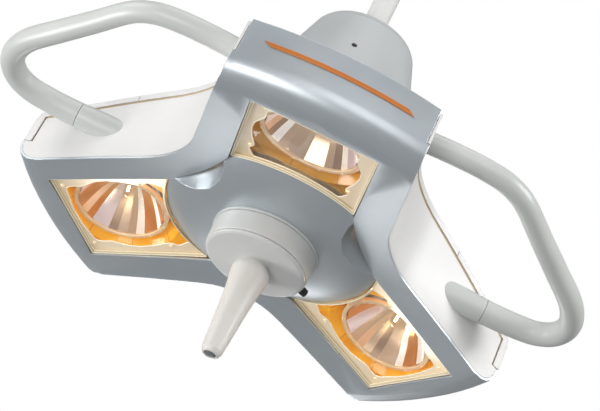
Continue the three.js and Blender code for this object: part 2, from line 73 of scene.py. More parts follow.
def module_matrix(lobe):
    place = Matrix.Translation((MODULE_ALONG, 0, MODULE_Z)) @ Matrix.Rotation(TILT, 4, "Y")
    return lobe_matrix(lobe) @ place


# ---------------------------------------------------------------- camera
CAMERA_PLACE = (0.04096, -1.85107, -1.60619)
CAMERA_TURN = (-0.69, 31.70, 26.27)  # yaw from +Y, pitch and roll, in degrees
CAMERA_LENS = 98.5


def make_camera():
    data = bpy.data.cameras.new("camera")
    camera = bpy.data.objects.new("camera", data)
    bpy.context.scene.collection.objects.link(camera)
    yaw, pitch, roll = (math.radians(a) for a in CAMERA_TURN)
    forward = Vector((math.sin(yaw) * math.cos(pitch), math.cos(yaw) * math.cos(pitch), math.sin(pitch)))
    right = forward.cross(Vector((0, 0, 1))).normalized()
    up = right.cross(forward)
    image_right = math.cos(roll) * right + math.sin(roll) * up
    image_up = -math.sin(roll) * right + math.cos(roll) * up
    turn = Matrix((image_right, image_up, -forward)).transposed().to_4x4()
    camera.matrix_world = Matrix.Translation(CAMERA_PLACE) @ turn
    data.sensor_width = 36
    data.lens = CAMERA_LENS
    data.clip_start = 0.05
    data.clip_end = 50
    bpy.context.scene.camera = camera


make_camera()


# ---------------------------------------------------------------- node helpers
def new_material(name):
    material = bpy.data.materials.new(name)
    material.use_nodes = True
    tree = material.node_tree
    tree.nodes.clear()
    return material, tree


def node(tree, kind, inputs=None, **settings):
    made = tree.nodes.new(kind)
    for key, value in settings.items():
        setattr(made, key, value)
    for key, value in (inputs or {}).items():
        socket = made.inputs[key]
        if isinstance(value, bpy.types.NodeSocket):
            tree.links.new(value, socket)
        else:
            socket.default_value = value
    return made


def rgb(red, green, blue):
    """An sRGB colour on the 0 to 255 scale as linear RGBA."""
    linear = [((c / 255 + 0.055) / 1.055) ** 2.4 if c > 10 else c / 255 / 12.92 for c in (red, green, blue)]
    return (*linear, 1.0)


def noise(tree, scale, detail=2.0):
    coordinates = node(tree, "ShaderNodeTexCoord").outputs["Object"]
    return node(tree, "ShaderNodeTexNoise", {"Vector": coordinates, "Scale": scale, "Detail": detail})


def mix_colour(tree, factor, first, second):
    return node(tree, "ShaderNodeMix", {0: factor, 6: first, 7: second}, data_type="RGBA").outputs[2]


def ramp(tree, factor, stops, interpolation="LINEAR"):
    made = node(tree, "ShaderNodeValToRGB", {"Fac": factor})
    made.color_ramp.interpolation = interpolation
    elements = made.color_ramp.elements
    while len(elements) < len(stops):
        elements.new(0.5)
    for element, (position, colour) in zip(elements, stops):
        element.position = position
        element.color = colour
    return made.outputs["Color"]


def maths(tree, operation, first, second=0.0):
    return node(tree, "ShaderNodeMath", {0: first, 1: second}, operation=operation).outputs[0]


def vector_maths(tree, operation, first, second=(0, 0, 0), result="Vector"):
    made = node(tree, "ShaderNodeVectorMath", {0: first, 1: second}, operation=operation)
    return made.outputs[result]


def edge_mask(tree, radius):
    """0 on flat skin, rising on edges sharper than the bevel radius; also gives the rounded normal."""
    bevel = node(tree, "ShaderNodeBevel", {"Radius": radius}, samples=6).outputs["Normal"]
    plain = node(tree, "ShaderNodeNewGeometry").outputs["Normal"]
    turned = maths(tree, "SUBTRACT", 1.0, vector_maths(tree, "DOT_PRODUCT", bevel, plain, "Value"))
    return maths(tree, "MULTIPLY", turned, 5.0), bevel


def finish_shader(tree, shader):
    output = node(tree, "ShaderNodeOutputMaterial")
    tree.links.new(shader, output.inputs["Surface"])


def toward(tree, degrees, power):
    """1 on the side of the part that faces the given direction round local z, falling to 0 behind it."""
    place = node(tree, "ShaderNodeTexCoord").outputs["Object"]
    flat = vector_maths(tree, "MULTIPLY", place, (1, 1, 0))
    way = (math.cos(math.radians(degrees)), math.sin(math.radians(degrees)), 0)
    dot = vector_maths(tree, "DOT_PRODUCT", vector_maths(tree, "NORMALIZE", flat), way, "Value")
    return maths(tree, "POWER", maths(tree, "MAXIMUM", dot, 0.0), power)


# ---------------------------------------------------------------- materials
EDGE_RADIUS = 0.0012  # how far the painted edge highlight reaches round an edge
GRAIN_SCALE = 900.0
GRAIN_STRENGTH = 0.06


def moulded(name, colour, second, edge, roughness, coat=0.0, metallic=0.0, glow=0.0, lamp_patch_strength=0.0, side=0.0):
    """Moulded or enamelled skin: slow tint drift, fine orange-peel grain, and a painted highlight that lightens
    every edge.

    A part near a burning lamp may get a faint painted glow, and a painted patch of bulb light on the side that
    faces the bulb.
    """
    material, tree = new_material(name)
    slow = noise(tree, 9.0, 3.0).outputs["Fac"]
    drift = ramp(tree, slow, [(0.3, rgb(*colour)), (0.72, rgb(*second))])
    mask, rounded_normal = edge_mask(tree, EDGE_RADIUS)
    # painted highlight: edges are lightened toward the edge tint
    tint = mix_colour(tree, maths(tree, "MINIMUM", mask, 0.8), drift, rgb(*edge))
    lumps = node(tree, "ShaderNodeBump", {
        "Height": noise(tree, GRAIN_SCALE, 3.0).outputs["Fac"], "Normal": rounded_normal,
        "Strength": GRAIN_STRENGTH, "Distance": 0.0004,
    })
    rough = node(tree, "ShaderNodeMapRange", {
        "Value": noise(tree, 60.0).outputs["Fac"], "To Min": roughness - 0.05, "To Max": roughness + 0.06,
    })
    # painted patch of bulb light: lighter and glowing on the side that faces the bulb
    if lamp_patch_strength:
        lamp_patch_mask = toward(tree, side, 5.0)
        tint = mix_colour(tree, maths(tree, "MULTIPLY", lamp_patch_mask, 0.7), tint, rgb(255, 246, 224))
        glow = maths(tree, "ADD", maths(tree, "MULTIPLY", lamp_patch_mask, lamp_patch_strength), glow)
    shader = node(tree, "ShaderNodeBsdfPrincipled", {
        "Base Color": tint, "Roughness": rough.outputs["Result"], "Normal": lumps.outputs["Normal"],
        "Metallic": metallic, "Coat Weight": coat, "Coat Roughness": 0.2,
        "Emission Color": tint, "Emission Strength": glow,
    })
    finish_shader(tree, shader.outputs["BSDF"])
    return material


def machined_steel(name):
    material, tree = new_material(name)
    coordinates = node(tree, "ShaderNodeTexCoord").outputs["Object"]
    stretched = node(tree, "ShaderNodeMapping", {"Vector": coordinates, "Scale": (300.0, 300.0, 4000.0)})
    lines = node(tree, "ShaderNodeTexNoise", {
        "Vector": stretched.outputs["Vector"], "Scale": 1.0, "Detail": 4.0,
    }).outputs["Fac"]
    tint = ramp(tree, lines, [(0.3, rgb(150, 153, 156)), (0.7, rgb(196, 199, 202))])
    bump = node(tree, "ShaderNodeBump", {"Height": lines, "Strength": 0.15, "Distance": 0.0003})
    shader = node(tree, "ShaderNodeBsdfPrincipled", {
        "Base Color": tint, "Metallic": 1.0, "Roughness": 0.3, "Normal": bump.outputs["Normal"],
    })
    finish_shader(tree, shader.outputs["BSDF"])
    return material


def clear_sheet(name, tint, strength):
    """Thin clear pane: see-through with a faint tint, and a Fresnel gloss on its outer faces."""
    material, tree = new_material(name)
    wave = noise(tree, 35.0, 1.0).outputs["Fac"]
    bump = node(tree, "ShaderNodeBump", {"Height": wave, "Strength": 0.04, "Distance": 0.001})
    through = node(tree, "ShaderNodeBsdfTransparent", {"Color": tint})
    gloss = node(tree, "ShaderNodeBsdfGlossy", {"Roughness": 0.03, "Normal": bump.outputs["Normal"]})
    fresnel = node(tree, "ShaderNodeFresnel", {"IOR": 1.5})
    behind = node(tree, "ShaderNodeNewGeometry").outputs["Backfacing"]
    front = maths(tree, "SUBTRACT", strength, maths(tree, "MULTIPLY", strength, behind))
    factor = maths(tree, "MULTIPLY", fresnel.outputs["Fac"], front)
    mixed = node(tree, "ShaderNodeMixShader", {0: factor, 1: through.outputs["BSDF"], 2: gloss.outputs["BSDF"]})
    finish_shader(tree, mixed.outputs["Shader"])
    return material


def round_angle(tree, count, turn=0.0):
    """Position round the local z axis in sectors, 0 to count, and the height along it."""
    parts = node(tree, "ShaderNodeSeparateXYZ", {0: node(tree, "ShaderNodeTexCoord").outputs["Object"]})
    angle = maths(tree, "ARCTAN2", parts.outputs["Y"], parts.outputs["X"])
    sectors = maths(tree, "ADD", maths(tree, "MULTIPLY", angle, count / (2 * math.pi)), count + turn)
    return sectors, parts.outputs["Z"]


def translucent_amber(name, glow, lamp_patch_strength, side):
    """Amber bowl: warm plastic with a painted glow of lamp light, a painted patch of bulb light brightest on
    one side, painted shade deeper in the bowl, and thin moulding seams.
    """
    material, tree = new_material(name)
    drift = noise(tree, 30.0, 3.0).outputs["Fac"]
    tint = ramp(tree, drift, [(0.25, rgb(216, 138, 28)), (0.5, rgb(230, 166, 36)), (0.8, rgb(240, 190, 72))])
    sectors, height = round_angle(tree, 8.0, 0.3)
    offset = maths(tree, "ABSOLUTE", maths(tree, "SUBTRACT", maths(tree, "FRACT", sectors), 0.5))
    seam = maths(tree, "LESS_THAN", offset, 0.012)
    tint = mix_colour(tree, maths(tree, "MULTIPLY", seam, 0.6), tint, rgb(170, 92, 22))
    # painted shade: the bowl darkens toward its deep end
    deep_shade = node(tree, "ShaderNodeMapRange", {"Value": height, "From Min": 0.020, "From Max": 0.034})
    tint = mix_colour(tree, maths(tree, "MULTIPLY", deep_shade.outputs["Result"], 0.6), tint, rgb(186, 102, 26))
    # painted patch of bulb light on the side that faces the bulb
    if lamp_patch_strength:
        lamp_patch_mask = toward(tree, side, 7.0)
        tint = mix_colour(tree, maths(tree, "MULTIPLY", lamp_patch_mask, 0.85), tint, rgb(255, 244, 212))
        glow = maths(tree, "ADD", maths(tree, "MULTIPLY", lamp_patch_mask, lamp_patch_strength), glow)
    shader = node(tree, "ShaderNodeBsdfPrincipled", {
        "Base Color": tint, "Roughness": 0.2, "Coat Weight": 0.4, "Coat Roughness": 0.08,
        "Emission Color": tint, "Emission Strength": glow,
    })
    finish_shader(tree, shader.outputs["BSDF"])
    return material


# painted reflections on a mirror's facets: white, lilac, gray-brown, pink, orange-brown and dark
FACET_REFLECTIONS = {"w": rgb(255, 254, 252), "l": rgb(204, 194, 202), "g": rgb(186, 164, 144), "p": rgb(218, 184, 156),
         "o": rgb(180, 116, 46), "d": rgb(146, 124, 108)}


def cold_mirror(name, pattern, glow):
    """Faceted cold-light mirror: bands of tone round its axis are painted reflections of lamp, bowl and room,
    with a painted glow on top.
    """
    material, tree = new_material(name)
    count = len(pattern)
    sectors, height = round_angle(tree, 1.0, 0.0)
    stops = [(i / count, FACET_REFLECTIONS[key]) for i, key in enumerate(pattern)]
    bands = ramp(tree, maths(tree, "FRACT", sectors), stops, "CONSTANT")
    haze = noise(tree, 55.0, 3.0).outputs["Fac"]
    tint = mix_colour(tree, maths(tree, "MULTIPLY", haze, 0.3), bands, rgb(206, 180, 164))
    # painted reflection: a warmer tan deeper in the mirror
    deep_reflection = node(tree, "ShaderNodeMapRange", {"Value": height, "From Min": 0.045, "From Max": 0.074})
    tint = mix_colour(tree, maths(tree, "MULTIPLY", deep_reflection.outputs["Result"], 0.5), tint, rgb(214, 184, 140))
    # the mirror's emission is a painted glow
    shader = node(tree, "ShaderNodeBsdfPrincipled", {
        "Base Color": tint, "Metallic": 0.9, "Roughness": 0.16,
        "Emission Color": tint, "Emission Strength": glow,
    })
    finish_shader(tree, shader.outputs["BSDF"])
    return material


def lamp_filament(name, strength):
    material, tree = new_material(name)
    along = node(tree, "ShaderNodeTexNoise", {"Scale": 500.0}).outputs["Fac"]
    tint = ramp(tree, along, [(0.3, rgb(255, 214, 140)), (0.7, rgb(255, 244, 214))])
    shader = node(tree, "ShaderNodeEmission", {"Color": tint, "Strength": strength})
    finish_shader(tree, shader.outputs["Emission"])
    return material


# main tint, second tint and painted edge highlight as sRGB, then roughness and what else a moulding has
MOULDINGS = {
    "head_gray": ((196, 204, 210), (206, 212, 216), (232, 235, 237), 0.36, {"metallic": 0.7}),
    "joint_gray": ((186, 190, 191), (196, 199, 199), (226, 228, 228), 0.34, {}),
    "handle_gray": ((206, 209, 206), (214, 216, 213), (236, 236, 232), 0.3, {}),
    "cover_white": ((228, 227, 225), (236, 235, 233), (250, 249, 247), 0.33, {}),
    "tube_white": ((226, 226, 224), (234, 234, 232), (248, 248, 246), 0.28, {"coat": 0.3}),
    "bezel_cream": ((226, 208, 168), (238, 222, 186), (255, 244, 214), 0.22, {"coat": 0.4}),
    # the next three mouldings glow as a painted highlight on the lips, the clear ring and the screw and stud
    # heads; the lips' near-white tint is painted highlight as well
    "bezel_lip": ((250, 236, 206), (254, 246, 224), (255, 252, 240), 0.14, {"coat": 0.6, "glow": 0.2}),
    "ring_clear": ((226, 190, 150), (240, 214, 180), (255, 250, 236), 0.12, {"coat": 0.6, "glow": 0.25}),
    "screw_brass": ((246, 222, 166), (252, 236, 196), (255, 250, 232), 0.12, {"metallic": 0.6, "glow": 0.35}),
    "ceramic": ((226, 218, 200), (236, 230, 216), (246, 242, 232), 0.5, {}),
    "stripe_orange": ((198, 112, 44), (208, 124, 52), (236, 168, 110), 0.42, {}),
    "seal_tan": ((176, 150, 114), (208, 190, 160), (222, 208, 184), 0.6, {}),
    "alloy": ((150, 154, 158), (164, 168, 171), (196, 198, 200), 0.45, {"metallic": 0.7}),
    "drum_gray": ((214, 216, 214), (222, 223, 221), (246, 246, 242), 0.32, {}),
    "sterile_white": ((222, 219, 214), (230, 227, 222), (242, 240, 236), 0.36, {}),
    "tip_gray": ((104, 110, 114), (118, 124, 128), (150, 154, 156), 0.5, {}),
    "black": ((20, 21, 24), (30, 31, 34), (90, 92, 96), 0.2, {"coat": 0.5}),
}
MASK_BEIGE = ((224, 203, 170), (232, 214, 186), (255, 242, 212), 0.35)
# whether each lamp burns, the painted reflection tones round its mirror, how much painted glow its bowl, mirror
# and mask plate get, and the strength of the painted patch of bulb light and the side where it falls, in
# degrees
LAMPS = {
    "A": {"lit": False, "bands": "ggldglwllwdggggggwdpllgglggg",
          "bowl": 0.10, "mirror": 0.46, "mask": 0.16, "lamp_patch_strength": 0.0, "side": 0},
    "B": {"lit": True, "bands": "ooglglggwgldglggowoowggdllop",
          "bowl": 0.54, "mirror": 0.55, "mask": 0.24, "lamp_patch_strength": 1.6, "side": 112},
    "C": {"lit": True, "bands": "owggdgpgllooogglggwglggglwwo",
          "bowl": 0.54, "mirror": 0.48, "mask": 0.24, "lamp_patch_strength": 1.6, "side": -98},
}
materials = {
    "window_glass": clear_sheet("window_glass", (0.98, 0.97, 0.95, 1), 0.9),
    "bulb_glass": clear_sheet("bulb_glass", (0.97, 0.95, 0.92, 1), 1.6),
    "steel": machined_steel("steel"),
    "filament_lit": lamp_filament("filament_lit", 30.0),
}
for name, (*looks, extras) in MOULDINGS.items():
    materials[name] = moulded(name, *looks, **extras)
for lamp, look in LAMPS.items():
    patch = {"lamp_patch_strength": look["lamp_patch_strength"], "side": look["side"]}
    materials[f"amber_{lamp}"] = translucent_amber(f"amber_{lamp}", look["bowl"], **patch)
    materials[f"reflector_{lamp}"] = cold_mirror(f"reflector_{lamp}", look["bands"], look["mirror"])
    materials[f"mask_{lamp}"] = moulded(f"mask_{lamp}", *MASK_BEIGE, glow=look["mask"], **patch)


# ---------------------------------------------------------------- smooth skin for every piece
WELD = 0.00002


def smooth_group(name, angle):
    """Geometry nodes: weld, then smooth shading except on edges sharper than the angle."""
    group = bpy.data.node_groups.new(name, "GeometryNodeTree")
    group.interface.new_socket("Geometry", in_out="INPUT", socket_type="NodeSocketGeometry")
    group.interface.new_socket("Geometry", in_out="OUTPUT", socket_type="NodeSocketGeometry")
    source = node(group, "NodeGroupInput")
    weld = node(group, "GeometryNodeMergeByDistance", {"Geometry": source.outputs[0], "Distance": WELD})
    faces = node(group, "GeometryNodeSetShadeSmooth", {"Geometry": weld.outputs[0], "Shade Smooth": True})
    edge = node(group, "GeometryNodeInputMeshEdgeAngle").outputs[0]
    flat = node(group, "FunctionNodeCompare", {0: edge, 1: angle}, operation="LESS_EQUAL")
    edges = node(group, "GeometryNodeSetShadeSmooth",
                 {"Geometry": faces.outputs[0], "Shade Smooth": flat.outputs[0]}, domain="EDGE")
    target = node(group, "NodeGroupOutput")
    group.links.new(edges.outputs[0], target.inputs[0])
    return group


soft_edges = smooth_group("soft_edges", math.radians(28))
crisp_facets = smooth_group("crisp_facets", math.radians(16))


def soften(piece, group=soft_edges):
    modifier = piece.modifiers.new(group.name, "NODES")
    modifier.node_group = group


def dress(name, material):
    """A carried-over CAD node: its shape stays, its skin is welded, smoothed and given a real finish."""
    piece = frame["nodes"][name]
    if "custom_normal" in piece.data.attributes:
        piece.data.attributes.remove(piece.data.attributes["custom_normal"])
    piece.data.materials.clear()
    piece.data.materials.append(materials[material])
    soften(piece)


slots = {part["node"]: part["material_slot"] for part in frame["record"]["subparts"]}


# ---------------------------------------------------------------- mesh helpers
def piece(name, shape, material, body, stands_for=None, matrix=to_row, edges=soft_edges):
    """A mesh from vertices and faces in its own frame, placed by matrix, that rides on a CAD body."""
    vertices, faces = shape
    mesh = bpy.data.meshes.new(name)
    mesh.from_pydata([tuple(v) for v in vertices], [], faces)
    mesh.validate()
    bm = bmesh.new()
    bm.from_mesh(mesh)
    bmesh.ops.recalc_face_normals(bm, faces=bm.faces)
    bm.to_mesh(mesh)
    bm.free()
    return place_piece(name, mesh, material, body, stands_for, matrix, edges)


def place_piece(name, mesh, material, body, stands_for, matrix, edges=soft_edges):
    made = bpy.data.objects.new(name, mesh)
    bpy.context.scene.collection.objects.link(made)
    made.matrix_world = matrix
    mesh.materials.clear()
    mesh.materials.append(materials[material])
    soften(made, edges)
    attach(made, body)
    if stands_for:
        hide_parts(stands_for)
    return made


def lathe(profile, steps=96, start=0.0):
    """Surface of revolution about z through (r, z) points; a point on the axis becomes one pole."""
    vertices, rows, faces = [], [], []
    for r, z in profile:
        if r < 1e-7:
            rows.append([len(vertices)] * steps)
            vertices.append((0, 0, z))
        else:
            rows.append(list(range(len(vertices), len(vertices) + steps)))
            for i in range(steps):
                a = start + 2 * math.pi * i / steps
                vertices.append((r * math.cos(a), r * math.sin(a), z))
    for lower, upper in zip(rows, rows[1:]):
        for i in range(steps):
            j = (i + 1) % steps
            corners = [lower[i], lower[j], upper[j], upper[i]]
            face = list(dict.fromkeys(corners))
            if len(face) > 2:
                faces.append(face)
    return vertices, faces


def rounded(points, radius, steps=4, closed=True):
    """Polyline with each corner replaced by a small arc; a third value on a point is its own radius."""
    out = []
    count = len(points)
    for i, point in enumerate(points):
        here = Vector(point[:2])
        size = point[2] if len(point) > 2 else radius
        if size <= 0 or (not closed and i in (0, count - 1)):
            out.append(tuple(here))
            continue
        before = Vector(points[i - 1][:2]) - here
        after = Vector(points[(i + 1) % count][:2]) - here
        half = before.angle(after) / 2
        reach = min(size / math.tan(half), before.length * 0.49, after.length * 0.49)
        size = reach * math.tan(half)
        centre = here + (before.normalized() + after.normalized()).normalized() * size / math.sin(half)
        first = here + before.normalized() * reach - centre
        last = here + after.normalized() * reach - centre
        turn = first.angle_signed(last)
        for k in range(steps + 1):
            out.append(tuple(centre + Matrix.Rotation(-turn * k / steps, 2) @ first))
    return out


def skin(rings, closed=False):
    """Quads between successive rings of the same length; when closed, the last joins the first."""
    sides = len(rings[0])
    vertices = [v for ring in rings for v in ring]
    faces = []
    for i in range(len(rings) if closed else len(rings) - 1):
        k = (i + 1) % len(rings)
        for j in range(sides):
            m = (j + 1) % sides
            faces.append([i * sides + j, i * sides + m, k * sides + m, k * sides + j])
    return vertices, faces


def circle(radius, sides):
    """Points round the origin, as (x, y)."""
    angles = [2 * math.pi * i / sides for i in range(sides)]
    return [(radius * math.cos(a), radius * math.sin(a)) for a in angles]


def heading(path, i):
    return path[min(i + 1, len(path) - 1)] - path[max(i - 1, 0)]


def sweep(path, radius, sides, ends):
    """Tube of varying radius along a path in the plane z = 0, capped square to the two end directions."""
    directions = [Vector(ends[0]), *[heading(path, i) for i in range(1, len(path) - 1)], Vector(ends[1])]
    rings = []
    for i, (point, ahead) in enumerate(zip(path, directions)):
        side = Vector((-ahead.y, ahead.x, 0)).normalized()
        r = radius(i / (len(path) - 1))
        rings.append([point + side * x + Vector((0, 0, y)) for x, y in circle(r, sides)])
    vertices, faces = skin(rings)
    faces.append(list(range(sides)))
    faces.append(list(range(len(vertices) - sides, len(vertices))))
    return vertices, faces


def wire_coil(radius, start, height, turns, thickness):
    """Thin wire wound round z, open ended."""
    steps, sides = 12, 6
    count = turns * steps
    path = []
    for i in range(count + 1):
        a = 2 * math.pi * i / steps
        path.append(Vector((radius * math.cos(a), radius * math.sin(a), start + height * i / count)))
    rings = []
    for i, point in enumerate(path):
        ahead = heading(path, i).normalized()
        side = ahead.cross(Vector((0, 0, 1))).normalized()
        other = ahead.cross(side)
        rings.append([point + side * x + other * y for x, y in circle(thickness, sides)])
    return skin(rings)


def spline(points, steps):
    """Centripetal Catmull-Rom through the points, evenly resampled."""
    ends = [2 * points[0] - points[1], *points, 2 * points[-1] - points[-2]]
    fine = []
    for p0, p1, p2, p3 in zip(ends, ends[1:], ends[2:], ends[3:]):
        t0 = 0.0
        t1 = t0 + (p1 - p0).length ** 0.5
        t2 = t1 + (p2 - p1).length ** 0.5
        t3 = t2 + (p3 - p2).length ** 0.5
        for k in range(16):
            t = t1 + (t2 - t1) * k / 16
            a1 = p0 * ((t1 - t) / (t1 - t0)) + p1 * ((t - t0) / (t1 - t0))
            a2 = p1 * ((t2 - t) / (t2 - t1)) + p2 * ((t - t1) / (t2 - t1))
            a3 = p2 * ((t3 - t) / (t3 - t2)) + p3 * ((t - t2) / (t3 - t2))
            b1 = a1 * ((t2 - t) / (t2 - t0)) + a2 * ((t - t0) / (t2 - t0))
            b2 = a2 * ((t3 - t) / (t3 - t1)) + a3 * ((t - t1) / (t3 - t1))
            fine.append(b1 * ((t2 - t) / (t2 - t1)) + b2 * ((t - t1) / (t2 - t1)))
    fine.append(points[-1].copy())
    return resample(fine, steps)


def resample(points, steps):
    lengths = [0.0]
    for a, b in zip(points, points[1:]):
        lengths.append(lengths[-1] + (b - a).length)
    out, k = [], 0
    for i in range(steps + 1):
        target = lengths[-1] * i / steps
        while k < len(points) - 2 and lengths[k + 1] < target:
            k += 1
        span = lengths[k + 1] - lengths[k]
        out.append(points[k].lerp(points[k + 1], (target - lengths[k]) / span if span else 0))
    return out


def drawn_mesh(name, loops, **settings):
    """Mesh of a curve object through closed outlines."""
    curve = bpy.data.curves.new(name, "CURVE")
    for key, value in settings.items():
        setattr(curve, key, value)
    for loop in loops:
        line = curve.splines.new("POLY")
        line.points.add(len(loop) - 1)
        for point, (x, y) in zip(line.points, loop):
            point.co = (x, y, 0, 1)
        line.use_cyclic_u = True
    drawn = bpy.data.objects.new(name, curve)
    bpy.context.scene.collection.objects.link(drawn)
    bpy.context.view_layer.update()
    mesh = bpy.data.meshes.new_from_object(drawn.evaluated_get(bpy.context.evaluated_depsgraph_get()))
    bpy.data.objects.remove(drawn)
    return mesh


def plate(name, loops, thickness, edge, material, stands_for, matrix, height):
    """Flat plate with holes and softly rounded edges, fixed to the head."""
    mesh = drawn_mesh(name, loops, dimensions="2D", fill_mode="BOTH", extrude=thickness / 2 - edge,
                      bevel_depth=edge, bevel_resolution=2, offset=-edge)
    mesh.transform(Matrix.Translation((0, 0, height)))
    return place_piece(name, mesh, material, "head", stands_for, matrix)


def bead(name, loop, radius, material, matrix, height):
    """Round bead along a closed outline, fixed to the head."""
    mesh = drawn_mesh(name, [loop], dimensions="3D", bevel_depth=radius, bevel_resolution=3)
    mesh.transform(Matrix.Translation((0, 0, height)))
    return place_piece(name, mesh, material, "head", None, matrix)


# ---------------------------------------------------------------- lamp windows
def plane_x(along):
    return (along - MODULE_ALONG) / math.cos(TILT)


def arc_along_dome(half, steps, radius):
    """Points of the dome's edge across a window, from one side to the other, ends included."""
    for i in range(steps + 1):
        lateral = half - 2 * half * i / steps
        yield plane_x(math.sqrt(radius ** 2 - lateral ** 2)), lateral


def window_loop(inset, inner_r, corner=0.0015):
    """Window outline in the module frame: straight end and sides, concave arc along the dome."""
    end = plane_x(WINDOW_OUT - inset) - 0.0016
    outer = WINDOW_HALF_OUT - inset
    arc = [(x, y, 0) for x, y in arc_along_dome(WINDOW_HALF_IN - inset - 0.0004, 28, inner_r)]
    arc[0] = (*arc[0][:2], corner)
    arc[-1] = (*arc[-1][:2], corner)
    return rounded([(end, -outer, corner), (end, outer, corner), *arc], corner, 3)


def smoothed(loop, spacing, spread):
    """Closed outline resampled evenly and blurred along its length."""
    points = [Vector((*p, 0)) for p in loop]
    points.append(points[0].copy())
    total = sum((b - a).length for a, b in zip(points, points[1:]))
    count = int(total / spacing)
    even = np.array([p[:2] for p in resample(points, count)[:-1]])
    reach = int(3 * spread / spacing)
    weights = np.exp(-0.5 * (np.arange(-reach, reach + 1) * spacing / spread) ** 2)
    weights /= weights.sum()
    blurred = sum(w * np.roll(even, k - reach, axis=0) for k, w in enumerate(weights))
    return [tuple(p) for p in blurred]


def mask_hole():
    """Wavy inner edge of the mask plate, bowed between the screws and necked at each of them."""
    side = [(-0.066, 0.068), (-0.055, 0.0615), (-0.044, 0.0645), (-0.030, 0.0685), (-0.008, 0.0715),
            (0.010, 0.070), (0.023, 0.0645), (0.034, 0.0595), (0.046, 0.0605), (0.054, 0.0595), (0.0585, 0.055),
            (0.060, 0.047), (0.061, 0.038), (0.0635, 0.024), (0.0646, 0.008)]
    inner = list(arc_along_dome(0.070, 12, 0.1545))[1:-1]
    return smoothed([*[(x, -y) for x, y in side], *reversed(side), *inner], 0.0015, 0.0026)


def dome_screw():
    """Small screw with a domed rim and a sunk centre, its head toward +z."""
    return lathe([(0, 0.0013), (0.0007, 0.0013), (0.0011, 0.0021), (0.0021, 0.0019), (0.0028, 0.0011),
                  (0.0030, 0.0), (0, 0)], 20)


def bezel_loop(inset):
    return window_loop(inset, DOME_EDGE + (inset - 0.0005) * 0.54)


FACE_DOWN = Matrix.Rotation(math.pi, 4, "X")


def make_window(lamp):
    """Bezel with two edge beads, glass, and the mask plate in front of it with its lip and screws; the beads
    and the lip are made bright with a painted highlight.
    """
    matrix = module_matrix(lamp)
    section = [(0.0005, 0.0060), (0.0005, 0.0021), (0.0009, 0.0016), (0.0015, 0.0017),
               (0.0036, 0.0033), (0.0041, 0.0038), (0.0042, 0.0044), (0.0042, 0.0060)]
    loops = [[Vector((x, y, height)) for x, y in bezel_loop(inset)] for inset, height in section]
    piece(f"bezel_{lamp}", skin(loops, True), "bezel_cream", "head", f"window_bezel_{lamp}", matrix)
    for inset, height in ((0.0012, 0.0016), (0.0040, 0.0038)):
        bead(f"bezel_edge_{lamp}_{round(inset * 1e4)}", bezel_loop(inset), 0.0005, "bezel_lip", matrix, height)
    plate(f"pane_{lamp}", [window_loop(0.0006, PANE_ARC)], 0.003, 0.0003,
          "window_glass", f"window_glass_{lamp}", matrix, 0.0098)
    hole = mask_hole()
    plate(f"mask_{lamp}", [window_loop(0.0006, PANE_ARC - 0.0001), hole], 0.0017, 0.0004,
          f"mask_{lamp}", f"mask_plate_{lamp}", matrix, 0.00715)
    bead(f"mask_lip_{lamp}", hole, 0.0009, "bezel_lip", matrix, 0.0067)
    screws = [(0.0605, 0.0625), (0.0605, -0.0625), (-0.0555, 0.0662), (-0.0555, -0.0662)]
    for number, (x, y) in enumerate(screws, 1):
        place = matrix @ Matrix.Translation((x, y, 0.0062)) @ FACE_DOWN
        piece(f"mask_screw_{lamp}_{number}", dome_screw(), "screw_brass", "head", None, place)


def make_bowl(lamp, matrix):
    wall = rounded([(0.0842, 0.0139), (0.0858, 0.0139), (0.0724, 0.0338), (0.0706, 0.0338)], 0.0006, 3)
    piece(f"bowl_{lamp}", lathe([*wall, wall[0]], 160), f"amber_{lamp}", "head", f"amber_bowl_{lamp}", matrix)
    plate(f"bowl_flange_{lamp}", [window_loop(-0.0012, DOME_EDGE + 0.0018), circle(0.0856, 160)],
          0.0014, 0.0002, f"amber_{lamp}", None, matrix, 0.0145)


def make_module(lamp, matrix, lit):
    """Faceted mirror, clear ring with studs, and bulb with its filament: what the focus drum turns."""
    body = f"lamp_module_{lamp}"
    depths = (0, .1, .2, .35, .5, .65, .8, .9, .97, 1)
    front = [(0.013 + 0.047 * math.sqrt(1 - t), 0.020 + 0.054 * t) for t in depths]
    back = [(r + 0.0016, h + 0.0006) for r, h in reversed(front)]
    piece(f"mirror_{lamp}", lathe([*front, *back, front[0]], 14), f"reflector_{lamp}", body,
          f"reflector_{lamp}", matrix, crisp_facets)
    ring = rounded([(0.0612, 0.0178), (0.0672, 0.0178), (0.0675, 0.0232), (0.0640, 0.0244), (0.0616, 0.0216)],
                   0.0009, 3)
    piece(f"ring_{lamp}", lathe([*ring, ring[0]], 120), "ring_clear", body, f"reflector_ring_{lamp}", matrix)
    studs = 12
    for number in range(studs):
        a = 2 * math.pi * (number + 0.35) / studs
        place = matrix @ Matrix.Translation((0.0655 * math.cos(a), 0.0655 * math.sin(a), 0.0180))
        piece(f"ring_stud_{lamp}_{number + 1}", dome_screw(), "screw_brass", body, None,
              place @ FACE_DOWN @ Matrix.Scale(0.55, 4))
    capsule = [(0, 0.038), (0.0012, 0.0382), (0.0024, 0.0388), (0.0040, 0.0402), (0.0050, 0.0422),
               (0.0056, 0.0450), (0.0056, 0.066), (0.0051, 0.0685), (0.0046, 0.0700), (0.0046, 0.0755),
               (0, 0.0755)]
    piece(f"capsule_{lamp}", lathe(capsule, 32), "bulb_glass", body, f"bulb_{lamp}", matrix)
    filament = wire_coil(radius=0.0012, start=0.048, height=0.009, turns=9, thickness=0.0004)
    piece(f"filament_{lamp}", filament, "filament_lit" if lit else "steel", body, None, matrix)


